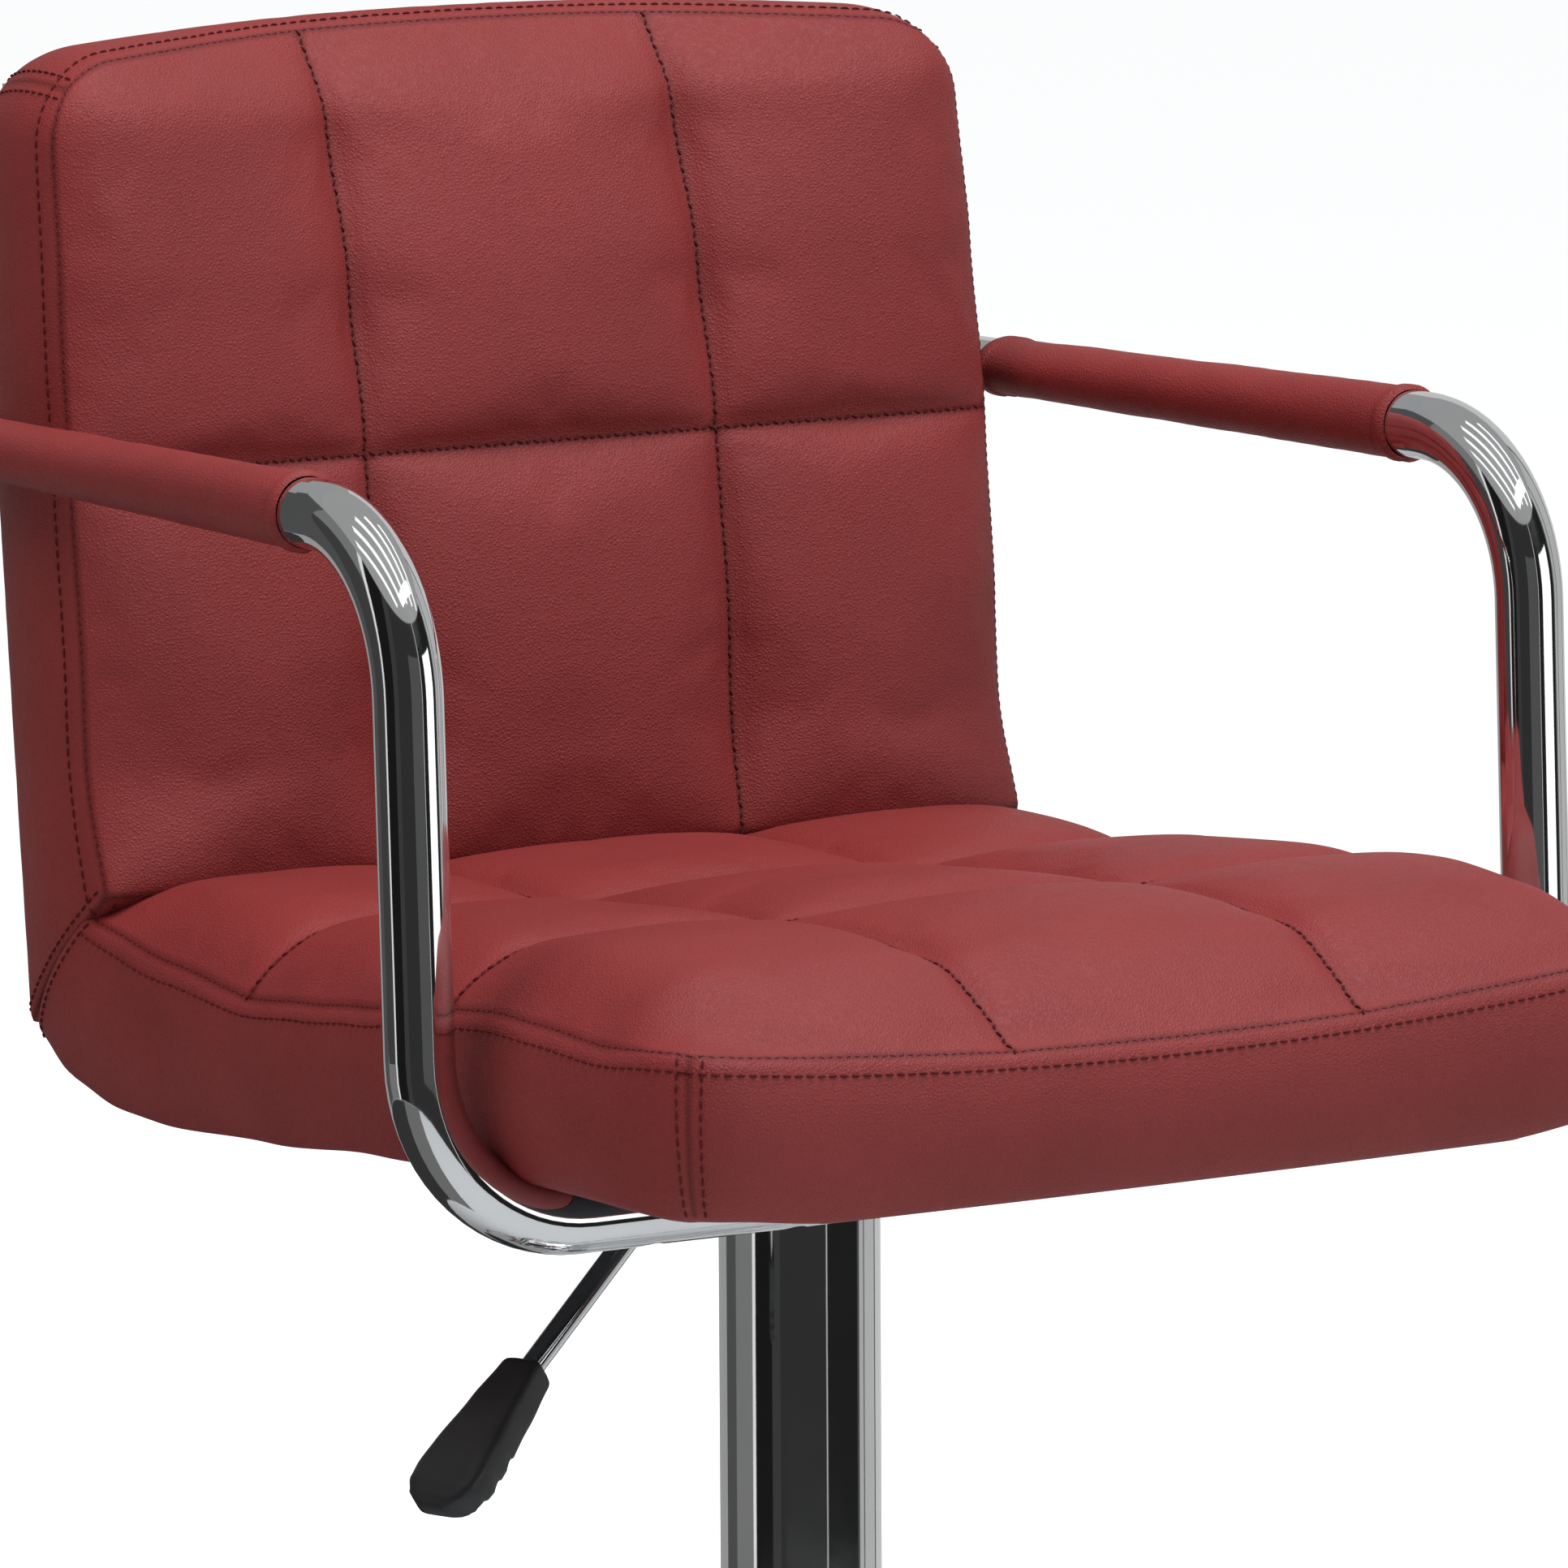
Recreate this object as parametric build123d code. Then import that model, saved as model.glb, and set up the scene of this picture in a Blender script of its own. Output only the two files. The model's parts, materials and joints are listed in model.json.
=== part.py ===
from build123d import *
import math
import os

os.makedirs("parts", exist_ok=True)

# Millimetres. The floor is z = 0, the column axis is Z, and the sitter faces -Y.
BASE_R = 225.0
RING_H = 4.0
DISH_H = 30.0
DISH_T = 1.5
BALLAST_R = 140.0
BOLT_CIRCLE_R = 40.0

TUBE_R = 25.0
TUBE_T = 2.0
TUBE_BOTTOM = 10.0
TUBE_TOP = 452.0
BUSH_L = 77.0

ROD_R = 5.0
GAS_R = 14.0
GAS_BORE_R = 12.0
GAS_BOTTOM = 95.0
TAPER_BOTTOM = 462.0
TAPER_TOP = 508.0
TAPER_TOP_R = 12.6
FIT = 0.05
PLATE_Z = 40.0
PISTON_Z = 322.0

SLEEVE_R = 30.0
SLEEVE_T = 1.5
SLEEVE_BOTTOM = 232.0
SLEEVE_TOP = 505.0

FOOTREST_Z = 209.0
FOOTREST_R = 11.0
FOOTREST_HALF = 150.0
FOOTREST_REACH = 230.0

SHELL_Z = 534.0
SHELL_T = 12.0
SHELL_HALF = 190.0
REAR_Y = 222.0
REAR_Z = 545.0
REAR_SLOPE = 34.0 / 360.0
SEAT_HALF = 211.0
BACK_HALF = 206.0
PLATE_T = 3.0
PLATE_TOP = 533.2

ARM_R = 12.7
ARM_WALL = 1.6
ARM_X_FRONT = 242.0
ARM_X_REAR = 230.0
ARM_Z = 766.5
ARM_RUN_Z = 520.0
ARM_LEG_TOP_Y = -122.0
ARM_LEG_FOOT_Y = -132.0
ARM_REAR_Y = 259.0
ARM_BEND_FOOT = 62.0
ARM_BEND_TOP = 61.5
ARM_BEND_REAR = 40.0
PRESSED_A = 14.5
PRESSED_B = 10.0
PAD_FRONT_Y = -52.0
PAD_REAR_Y = 202.0

LEVER_Z = 511.0
LEVER_TURN = 20.0
LEVER_ARM = 22.0
LEVER_ROD_R = 4.5
PIN_R = 4.0


def cyl(radius, z0, z1, x=0.0, y=0.0):
    return Pos(x, y, (z0 + z1) / 2) * Cylinder(radius, z1 - z0)


def ring(outer, inner, z0, z1, x=0.0, y=0.0):
    return cyl(outer, z0, z1, x, y) - cyl(inner, z0 - 1, z1 + 1, x, y)


def group(solids):
    return Compound(children=list(solids))


def spun_shell(outer, inner):
    """Revolve the strip between two curves given as (radius, height) points."""
    top = Spline(*[Vector(r, 0, z) for r, z in outer])
    low = Spline(*[Vector(r, 0, z) for r, z in inner])
    rim = Line(top @ 0, low @ 0)
    end = Line(top @ 1, low @ 1)
    face = make_face([top, low, rim, end])
    return revolve(face, Axis.Z, 360)


def bent_path(points, radii):
    """A straight-and-arc centre line with one bend radius per inner point."""
    pts = [Vector(*p) for p in points]
    edges = []
    start = pts[0]
    for i, radius in enumerate(radii, 1):
        a = (pts[i - 1] - pts[i]).normalized()
        b = (pts[i + 1] - pts[i]).normalized()
        half = math.radians(a.get_angle(b)) / 2
        enter = pts[i] + a * (radius / math.tan(half))
        leave = pts[i] + b * (radius / math.tan(half))
        centre = pts[i] + (a + b).normalized() * (radius / math.sin(half))
        middle = centre + (pts[i] - centre).normalized() * radius
        edges.append(Line(start, enter))
        edges.append(ThreePointArc(enter, middle, leave))
        start = leave
    edges.append(Line(start, pts[-1]))
    return Wire(edges)


def round_sweep(path, radius):
    return sweep(Plane(origin=path @ 0, z_dir=path % 0) * Circle(radius), path=path)


# ---- base ----

def floor_ring():
    return ring(BASE_R + 1, BASE_R - 25, 0, RING_H)


def base_dish():
    outer = [(BASE_R, RING_H), (222, 11), (205, 16), (165, 21.5), (125, 27), (90, DISH_H)]
    inner = [(BASE_R - DISH_T, RING_H), (220.6, 10.2), (204.4, 14.5), (165, 20), (125, 25.5)]
    inner.append((90, DISH_H - DISH_T))
    dome = spun_shell(outer, inner)
    flat = ring(90, TUBE_R + 0.3, DISH_H - DISH_T, DISH_H)
    return dome + flat - bolt_holes(4.0)


def bolt_spots():
    return [Pos(*p) for p in [(40, 0, 0), (0, 40, 0), (-40, 0, 0), (0, -40, 0)]]


def bolt_holes(radius):
    return group([spot * cyl(radius, 0, 60) for spot in bolt_spots()])


def ballast_disc():
    disc = cyl(BALLAST_R, 8, 19) + cyl(60, 19, DISH_H - DISH_T)
    return disc - cyl(TUBE_R, 0, 60) - group([s * cyl(4.0, 12, 60) for s in bolt_spots()])


def base_flange():
    return ring(56, TUBE_R, DISH_H, DISH_H + 6) - bolt_holes(4.0)


def base_bolts():
    head = extrude(Plane.XY.offset(DISH_H + 6) * RegularPolygon(6.5, 6), 5.3)
    bolt = head + cyl(4.0, 12, DISH_H + 6)
    return group([spot * bolt for spot in bolt_spots()])


def column_skirt():
    outer = [(80, DISH_H), (68, 34), (56, 42), (46, 54), (38, 70), (32, 90), (28, 112)]
    inner = [(78, DISH_H), (67, 32.9), (55, 40.9), (44.9, 53), (36.8, 69.2), (30.7, 89.6), (26.6, 112)]
    return spun_shell(outer, inner)


def lower_tube():
    return ring(TUBE_R, TUBE_R - TUBE_T, TUBE_BOTTOM, TUBE_TOP)


def tube_end_plate():
    return ring(TUBE_R - TUBE_T, ROD_R + FIT, PLATE_Z, PLATE_Z + 5)


def guide_bush():
    body = cyl(TUBE_R - TUBE_T, TUBE_TOP - BUSH_L, TUBE_TOP) + cyl(TUBE_R, TUBE_TOP, TUBE_TOP + 3)
    return body - cyl(GAS_R + FIT, 300, 500)


def collar_screw_pair(radius):
    screws = []
    for dz in (-10, 10):
        place = Pos(0, TUBE_R + 3, FOOTREST_Z + dz) * Rot(90, 0, 0)
        screws.append(place * Cylinder(radius, 6))
    return screws


def collar_screws():
    return group([s - cyl(TUBE_R, 100, 300) for s in collar_screw_pair(3.5)])


def footrest_collar():
    return ring(29, TUBE_R, FOOTREST_Z - 21, FOOTREST_Z + 21) - group(collar_screw_pair(3.5))


def footrest_loop():
    w = FOOTREST_HALF
    f = -FOOTREST_REACH
    z = FOOTREST_Z
    points = [(-w / 15, -40 / 15, z), (-w, -40, z), (-w, f, z), (w, f, z), (w, -40, z), (w / 15, -40 / 15, z)]
    path = bent_path(points, [45, 60, 60, 45])
    tube = round_sweep(path, FOOTREST_R) - round_sweep(path, FOOTREST_R - 1.5)
    return tube - cyl(29, 150, 260)


def lower_race():
    return ring(13.5, 7, PLATE_Z + 5, PLATE_Z + 7.5)


# ---- spindle: the piston rod that stands in the column ----

def ball_spots():
    return PolarLocations(10.2, 10)


def bearing_balls():
    return group([spot * Pos(0, 0, PLATE_Z + 9.5) * Sphere(2.0) for spot in ball_spots()])


def bearing_cage():
    cage = ring(13.2, 7.2, PLATE_Z + 8.8, PLATE_Z + 10.2)
    return cage - group([spot * Pos(0, 0, PLATE_Z + 9.5) * Sphere(2.1) for spot in ball_spots()])


def upper_race():
    return ring(13.5, ROD_R, PLATE_Z + 11.5, PLATE_Z + 14)


def piston_rod():
    rod = cyl(ROD_R, 34, PISTON_Z) + cyl(7, PLATE_Z + 14, PLATE_Z + 18)
    return rod - ring(ROD_R + 1, 4.0, 37.5, 39)


def rod_clip():
    return ring(9, 4.0, 37.5, 39) - Pos(8, 0, 38.2) * Box(10, 4, 4)


def rod_washer():
    return ring(12, ROD_R, 39, PLATE_Z)


def piston_head():
    return cyl(GAS_BORE_R - FIT, PISTON_Z, PISTON_Z + 8)


# ---- what rises and turns with the seat ----

def gas_body():
    barrel = cyl(GAS_R, GAS_BOTTOM, TAPER_BOTTOM)
    height = TAPER_TOP - TAPER_BOTTOM
    cone = Pos(0, 0, TAPER_BOTTOM + height / 2) * Cone(GAS_R, TAPER_TOP_R, height)
    return barrel + cone


def gas_tube():
    return gas_body() - cyl(GAS_BORE_R, GAS_BOTTOM - 1, 455) - cyl(PIN_R + FIT, 450, 520)


def gas_tube_seal():
    return ring(GAS_BORE_R, ROD_R + FIT, GAS_BOTTOM, GAS_BOTTOM + 5)


def cover_sleeve():
    return ring(SLEEVE_R, SLEEVE_R - SLEEVE_T, SLEEVE_BOTTOM, SLEEVE_TOP)


def sleeve_glide():
    return ring(SLEEVE_R - SLEEVE_T, TUBE_R + 0.4, SLEEVE_BOTTOM, SLEEVE_BOTTOM + 10)


def sleeve_cap():
    return ring(SLEEVE_R - SLEEVE_T, 24, SLEEVE_TOP - 6, SLEEVE_TOP)


def taper_socket():
    return cyl(24, TAPER_BOTTOM, SLEEVE_TOP) - gas_body()


def lever_frame():
    turn = math.radians(180 + LEVER_TURN)
    out = Vector(math.cos(turn), math.sin(turn), 0)
    return Location(Plane(origin=(0, 0, LEVER_Z), x_dir=out, z_dir=(0, 0, 1)))


def lever_bracket():
    low = SLEEVE_TOP - LEVER_Z
    high = PLATE_TOP - PLATE_T - LEVER_Z
    outer = Pos(6, 0, (low + high) / 2) * Box(60, 44, high - low)
    hollow = Pos(10.5, 0, (low + high) / 2) * Box(63, 38, high - low + 2)
    pin_hole = Pos(LEVER_ARM, 0, 0) * Rot(90, 0, 0) * Cylinder(3.0, 80)
    return lever_frame() * (outer - hollow - pin_hole)


def lever_pin():
    return lever_frame() * (Pos(LEVER_ARM, 0, 0) * Rot(90, 0, 0) * Cylinder(3.0, 50))


def plate_spots():
    return [(-80, -58), (80, -58), (80, 58), (-80, 58)]


def seat_plate():
    plate = extrude(Plane.XY.offset(PLATE_TOP - PLATE_T) * RectangleRounded(200, 150, 18), PLATE_T)
    return plate - group([cyl(3.0, 500, 560, x, y) for x, y in plate_spots()])


def plate_screws():
    low = PLATE_TOP - PLATE_T
    screws = [cyl(6, low - 3.8, low, x, y) + cyl(3.0, low, 546.5, x, y) for x, y in plate_spots()]
    return group(screws)


def tee_nuts():
    top = SHELL_Z + SHELL_T
    nuts = []
    for x, y in plate_spots():
        nuts.append(ring(4.2, 3.0, SHELL_Z + 2, top, x, y) + ring(9, 3.0, top, top + 1.2, x, y))
    return group(nuts)


def arm_screw_x():
    return [-150, -90, 90, 150]


def arm_seat_screws():
    """Each head sits inside the tube against its upper wall, reached through a hole below."""
    y = ARM_LEG_FOOT_Y
    seat = ARM_RUN_Z + 9
    return group([cyl(5.0, seat - 3.5, seat, x, y) + cyl(3.0, seat, 545, x, y) for x in arm_screw_x()])


def along_y(radius, y0, y1, x, z):
    return Pos(x, (y0 + y1) / 2, z) * Rot(90, 0, 0) * Cylinder(radius, y1 - y0)


def arm_back_screws():
    rear = ARM_REAR_Y + PRESSED_A
    screws = []
    for x in (-150, 150):
        screws.append(along_y(6.5, rear, rear + 3.8, x, ARM_Z) + along_y(3.0, 230, rear, x, ARM_Z))
    return group(screws)


def rear_y(z, inset=0.0):
    return REAR_Y + (z - REAR_Z) * REAR_SLOPE - inset / math.cos(math.atan(REAR_SLOPE))


def seat_shell():
    """Bent plywood: one sheet that is both the seat board and the back board."""
    z0 = SHELL_Z
    z1 = SHELL_Z + SHELL_T
    top = 895.0
    outside = bent_path([(0, -225, z0), (0, rear_y(z0, 5), z0), (0, rear_y(top, 5), top)], [52])
    inside = bent_path([(0, -225, z1), (0, rear_y(z1, 17), z1), (0, rear_y(top, 17), top)], [40])
    ends = [Line(outside @ 0, inside @ 0), Line(outside @ 1, inside @ 1)]
    face = make_face(outside.edges() + inside.edges() + ends)
    sheet = extrude(face, SHELL_HALF, dir=(1, 0, 0), both=True)
    plan = Pos(0, 0, 700) * Box(2 * SHELL_HALF, 520, 400)
    seat_plan = Plane.XY.offset(500) * Pos(0, 15) * Rectangle(2 * SHELL_HALF, 490)
    seat_plan = fillet(seat_plan.vertices().group_by(Axis.Y)[0], 30)
    sheet = sheet & (plan + extrude(seat_plan, 200))
    return sheet - plate_screws() - tee_nuts() - arm_seat_screws() - arm_back_screws()


def mitre_low():
    return (214, 543)


def mitre_high():
    return (168, 603)


def cushion_block(profile, half_width):
    face = make_face(Plane.YZ * Polyline(*profile, close=True))
    return extrude(face, half_width, both=True)


def fasteners():
    return plate_screws(), tee_nuts(), arm_seat_screws(), arm_back_screws()


def without(solid, tools):
    for tool in tools:
        solid = solid - tool
    return solid


def seat_cushion(neighbours):
    """Padding and cover of the seat, wrapped around the edge of the sheet."""
    profile = [(-240, 536), (-256, 560), (-251, 590), (-215, 607), (-110, 616), (46, 606), (150, 608)]
    profile += [mitre_high(), mitre_low(), (190, 529), (155, 522), (119, 521), (40, 526), (-36, 533)]
    profile += [(-143, 539), (-225, 537)]
    block = cushion_block(profile, SEAT_HALF)
    plan = Pos(0, -17) * Rectangle(2 * SEAT_HALF, 480)
    plan = fillet(plan.vertices().group_by(Axis.Y)[0], 38)
    block = block & extrude(Plane.XY.offset(500) * plan, 200)
    pocket = Pos(0, -30, 500) * Box(368, 376, 2 * (SHELL_Z - 500))
    return without(block, [pocket, *neighbours])


def back_cushion(neighbours):
    """Padding and cover of the back, around all sides of the upright sheet."""
    profile = [mitre_high(), (176, 750), (191, 885), (203, 912), (225, 922), (250, 918)]
    profile += [(rear_y(905), 905), (rear_y(REAR_Z + 6), REAR_Z + 6), mitre_low()]
    block = cushion_block(profile, BACK_HALF)
    front = Pos(0, 722) * Rectangle(2 * BACK_HALF, 400)
    front = fillet(front.vertices().group_by(Axis.Y)[-1], 30)
    block = block & extrude(Plane.XZ * front, 400, both=True)
    return without(block, neighbours)


def dust_cover():
    sheet = Pos(0, -30, (PLATE_TOP + SHELL_Z) / 2) * Box(366, 374, SHELL_Z - PLATE_TOP)
    return without(sheet, [plate_screws(), arm_seat_screws()])


# ---- arms, modelled on the +X side and mirrored ----

def arm_line(y):
    slope = (ARM_X_REAR - ARM_X_FRONT) / (ARM_REAR_Y - ARM_LEG_TOP_Y)
    return (ARM_X_FRONT + (y - ARM_LEG_TOP_Y) * slope, y, ARM_Z)


def arm_section(y, shape):
    tangent = Vector(*arm_line(y + 1)) - Vector(*arm_line(y))
    across = tangent.cross(Vector(0, 0, 1))
    return Plane(origin=arm_line(y), x_dir=across, z_dir=tangent) * shape


def arm_body(inset):
    points = [(60, ARM_LEG_FOOT_Y, ARM_RUN_Z), (ARM_X_FRONT, ARM_LEG_FOOT_Y, ARM_RUN_Z)]
    points += [arm_line(ARM_LEG_TOP_Y), arm_line(-50)]
    leg = round_sweep(bent_path(points, [ARM_BEND_FOOT, ARM_BEND_TOP]), ARM_R - inset)
    oval = Ellipse(PRESSED_A - inset, PRESSED_B - inset)
    taper = loft([arm_section(-50, Circle(ARM_R - inset)), arm_section(200, oval)])
    rear = bent_path([arm_line(200), arm_line(ARM_REAR_Y), (130, ARM_REAR_Y, ARM_Z)], [ARM_BEND_REAR])
    tail = sweep(arm_section(200, oval), path=rear)
    return leg + taper + tail


def arm_tube():
    tube = arm_body(0) - arm_body(ARM_WALL)
    holes = [cyl(3.0, ARM_RUN_Z, 560, x, ARM_LEG_FOOT_Y) for x in (90, 150)]
    holes += [cyl(6.0, 490, ARM_RUN_Z, x, ARM_LEG_FOOT_Y) for x in (90, 150)]
    holes.append(along_y(3.0, 230, 290, 150, ARM_Z))
    return without(tube, holes)


def arm_pad():
    front = arm_section(PAD_FRONT_Y, Circle(ARM_R + 1.2))
    rear = arm_section(PAD_REAR_Y, Ellipse(PRESSED_A + 1.3, PRESSED_B + 1.1))
    hem_a = arm_section(PAD_FRONT_Y - 1, Circle(ARM_R + 2.0))
    hem_b = arm_section(PAD_FRONT_Y + 5, Circle(ARM_R + 1.9))
    hem_c = arm_section(PAD_REAR_Y - 5, Ellipse(PRESSED_A + 2.0, PRESSED_B + 1.8))
    hem_d = arm_section(PAD_REAR_Y + 1, Ellipse(PRESSED_A + 2.1, PRESSED_B + 1.9))
    pad = loft([front, rear]) + loft([hem_a, hem_b]) + loft([hem_c, hem_d])
    return pad - arm_body(0)


def both_sides(solid):
    return solid, mirror(solid, about=Plane.YZ)


def arm_end_plugs():
    seat_end = Pos(64, ARM_LEG_FOOT_Y, ARM_RUN_Z) * Rot(0, 90, 0) * Cylinder(ARM_R - ARM_WALL, 8)
    oval = Plane.YZ.offset(130) * Pos(ARM_REAR_Y, ARM_Z) * Ellipse(PRESSED_A - ARM_WALL, PRESSED_B - ARM_WALL)
    return group([*both_sides(seat_end), *both_sides(extrude(oval, 8))])


def soft_clearance():
    """Room for the arm tubes where they pass close to the padding."""
    bend = both_sides(round_sweep(leg_path(), ARM_R + 1.5))
    return *bend, *both_sides(arm_body(-1.0))


def leg_path():
    points = [(100, ARM_LEG_FOOT_Y, ARM_RUN_Z), (ARM_X_FRONT, ARM_LEG_FOOT_Y, ARM_RUN_Z)]
    points.append(arm_line(ARM_LEG_TOP_Y))
    return bent_path(points, [ARM_BEND_FOOT])


# ---- lever ----

def lever_points():
    return [(LEVER_ARM, 0, 0), (72.3, 0, 0), (162.6, 0, -61), (184, 0, -75.5)]


def lever_rod():
    rod = round_sweep(bent_path(lever_points(), [14, 60]), LEVER_ROD_R)
    boss = Pos(LEVER_ARM, 0, 0) * Rot(90, 0, 0) * Cylinder(6, 60)
    return lever_frame() * (rod - boss)


def lever_tongue():
    boss = Pos(LEVER_ARM, 0, 0) * Rot(90, 0, 0) * (Cylinder(6, 36) - Cylinder(3.0 + FIT, 40))
    plate = Pos(8, 0, 5.9) * Box(28, 14, 3) - Pos(LEVER_ARM, 0, 0) * Rot(90, 0, 0) * Cylinder(5, 60)
    return lever_frame() * (boss + plate)


def paddle_section(along, width, thick, corner):
    fall = math.radians(37.5)
    x = 158 + along * math.cos(fall)
    z = -57 - along * math.sin(fall)
    plane = Plane(origin=(x, 0, z), x_dir=(0, 1, 0), z_dir=(math.cos(fall), 0, -math.sin(fall)))
    return plane * RectangleRounded(width, thick, corner)


def lever_handle():
    sections = [paddle_section(5, 16.5, 13.5, 5), paddle_section(27, 22, 15, 5)]
    sections += [paddle_section(52, 29.5, 15.5, 5), paddle_section(74, 27, 10, 4.5)]
    return lever_frame() * loft(sections) - lever_rod()


def release_pin():
    return cyl(PIN_R, 485, LEVER_Z) + Pos(0, 0, LEVER_Z) * Sphere(PIN_R)


def write(name, solid):
    export_step(solid, f"parts/{name}.step")


def write_base():
    for piece in (floor_ring, base_dish, ballast_disc, base_flange, base_bolts, column_skirt, lower_tube,
                  tube_end_plate, guide_bush, footrest_collar, footrest_loop, collar_screws, lower_race):
        write(piece.__name__, piece())


def write_spindle():
    for piece in (piston_rod, piston_head, rod_clip, rod_washer, bearing_cage, bearing_balls, upper_race):
        write(piece.__name__, piece())


def write_seat():
    for piece in (gas_tube, gas_tube_seal, cover_sleeve, sleeve_glide, sleeve_cap, taper_socket,
                  lever_bracket, lever_pin, seat_plate, plate_screws, tee_nuts, seat_shell, dust_cover,
                  arm_seat_screws, arm_back_screws, arm_end_plugs):
        write(piece.__name__, piece())
    neighbours = [seat_shell(), *fasteners(), *soft_clearance()]
    write("seat_cushion", seat_cushion(neighbours))
    write("back_cushion", back_cushion(neighbours))


def write_arms():
    for name, solid in zip(("arm_tube_left", "arm_tube_right"), both_sides(arm_tube())):
        write(name, solid)
    for name, solid in zip(("arm_pad_left", "arm_pad_right"), both_sides(arm_pad())):
        write(name, solid)


def write_lever():
    for piece in (lever_rod, lever_tongue, lever_handle, release_pin):
        write(piece.__name__, piece())


write_base()
write_spindle()
write_seat()
write_arms()
write_lever()
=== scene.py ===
import bpy
import bmesh
import json
import math
import random
from mathutils import Vector, Matrix, noise
from mathutils.kdtree import KDTree


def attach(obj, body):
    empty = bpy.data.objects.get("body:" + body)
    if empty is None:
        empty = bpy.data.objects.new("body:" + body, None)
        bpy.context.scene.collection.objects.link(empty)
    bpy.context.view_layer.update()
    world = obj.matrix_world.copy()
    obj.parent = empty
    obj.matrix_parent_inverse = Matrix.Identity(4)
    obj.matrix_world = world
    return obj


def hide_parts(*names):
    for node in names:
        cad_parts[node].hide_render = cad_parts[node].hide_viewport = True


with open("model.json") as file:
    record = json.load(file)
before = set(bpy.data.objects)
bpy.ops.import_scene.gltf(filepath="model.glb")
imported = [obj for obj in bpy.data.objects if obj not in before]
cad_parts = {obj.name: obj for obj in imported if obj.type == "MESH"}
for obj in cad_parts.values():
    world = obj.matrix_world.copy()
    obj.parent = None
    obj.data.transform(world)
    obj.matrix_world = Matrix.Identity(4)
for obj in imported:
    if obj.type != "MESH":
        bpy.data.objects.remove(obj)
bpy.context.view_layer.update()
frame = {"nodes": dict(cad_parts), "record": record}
RNG = random.Random(7)
MM = 0.001


# ---------------------------------------------------------------- camera

LENS = 270.0
SENSOR = 36.0
CAMERA_AT = (-2.3374, -3.5876, 1.2563)
CAMERA_FORWARD = (0.53945, 0.83003, -0.14154)
CAMERA_RIGHT = (0.83815, -0.54541, -0.00538)


def add_camera():
    cam = bpy.data.cameras.new("camera")
    cam.lens = LENS
    cam.sensor_width = SENSOR
    cam.clip_end = 100.0
    obj = bpy.data.objects.new("camera", cam)
    bpy.context.collection.objects.link(obj)
    forward = Vector(CAMERA_FORWARD).normalized()
    right = Vector(CAMERA_RIGHT).normalized()
    up = right.cross(forward).normalized()
    right = forward.cross(up)
    rot = Matrix((right, up, -forward)).transposed()
    obj.matrix_world = Matrix.Translation(CAMERA_AT) @ rot.to_4x4()
    bpy.context.scene.camera = obj


add_camera()


# ---------------------------------------------------------------- small maths

def table(x, points):
    """Smooth interpolation through (x, value) pairs sorted by x."""
    if x <= points[0][0]:
        return points[0][1]
    for (x0, v0), (x1, v1) in zip(points, points[1:]):
        if x <= x1:
            t = (x - x0) / (x1 - x0)
            t = t * t * (3 - 2 * t) * 0.6 + t * 0.4
            return v0 + (v1 - v0) * t
    return points[-1][1]


def smooth(t):
    t = max(0.0, min(1.0, t))
    return t * t * (3 - 2 * t)


def spans(edges, counts):
    """Grid coordinates through the seam positions, and the index of each seam."""
    out = [edges[0]]
    marks = [0]
    for lo, hi, n in zip(edges, edges[1:], counts):
        out += [lo + (hi - lo) * (i + 1) / n for i in range(n)]
        marks.append(len(out) - 1)
    return out, marks


def hump(value, edges, power):
    """0 on every seam position, 1 halfway between two."""
    for lo, hi in zip(edges, edges[1:]):
        if lo <= value <= hi:
            p = (value - lo) / (hi - lo)
            return 1 - abs(2 * p - 1) ** power
    return 0.0


def rounded(a, b):
    """A point of a square corner, 0 to 1 each way, moved onto a quarter disc."""
    return a * math.sqrt(1 - b * b / 2), b * math.sqrt(1 - a * a / 2)


# ---------------------------------------------------------------- meshes

def new_object(name, verts, faces):
    mesh = bpy.data.meshes.new(name)
    mesh.from_pydata(verts, [], faces)
    obj = bpy.data.objects.new(name, mesh)
    bpy.context.collection.objects.link(obj)
    return obj


def tube_faces(rows, ring, base=0):
    """Faces of a tube whose rows of ring points follow each other from number base."""
    faces = []
    for a in range(base, base + (rows - 1) * ring, ring):
        for k in range(ring):
            m = (k + 1) % ring
            faces.append((a + k, a + m, a + m + ring, a + k + ring))
    return faces


def store_seam_shade(mesh, values):
    """How far each vertex lies in a seam, from 0 to 1, for the vinyl to darken with painted shade."""
    layer = mesh.attributes.new("seam_shade", "FLOAT", "POINT")
    for k, value in enumerate(values):
        layer.data[k].value = value


# ---------------------------------------------------------------- padded pieces

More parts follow.
